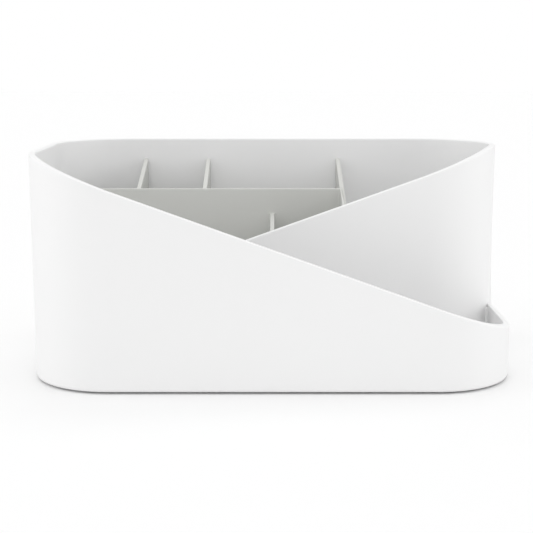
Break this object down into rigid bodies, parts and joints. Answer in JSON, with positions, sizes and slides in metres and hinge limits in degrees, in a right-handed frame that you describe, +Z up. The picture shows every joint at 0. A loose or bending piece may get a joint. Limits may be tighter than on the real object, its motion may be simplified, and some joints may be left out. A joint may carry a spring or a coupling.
{
  "type": "desk organizer",
  "caption": "Open moulded desk organizer with crossing sloped front walls, a rear cup, a full-width front bin and a lift-out divider lattice on low foot pads.",
  "frame": {"origin": "under the middle of the body, on the surface that the pads stand on", "axes": "+X to the right along the width, +Y to the back, +Z up"},
  "size_m": [0.2542, 0.1498, 0.1188],
  "materials": {
    "shell_plastic": "fine matte white moulding",
    "insert_plastic": "fine matte warm white moulding",
    "foot_rubber": "translucent grey silicone"
  },
  "bodies": {
    "shell": {"outer_shell": "shell_plastic", "foot_pad_front_left": "foot_rubber", "foot_pad_front_right": "foot_rubber", "foot_pad_back_left": "foot_rubber", "foot_pad_back_right": "foot_rubber"},
    "insert": {"divider_insert": "insert_plastic"}
  },
  "joints": [
    {"name": "insert_lift", "type": "slide", "parent": "shell", "child": "insert", "axis": [0, 0, 1], "range_m": [0, 0.125]}
  ]
}
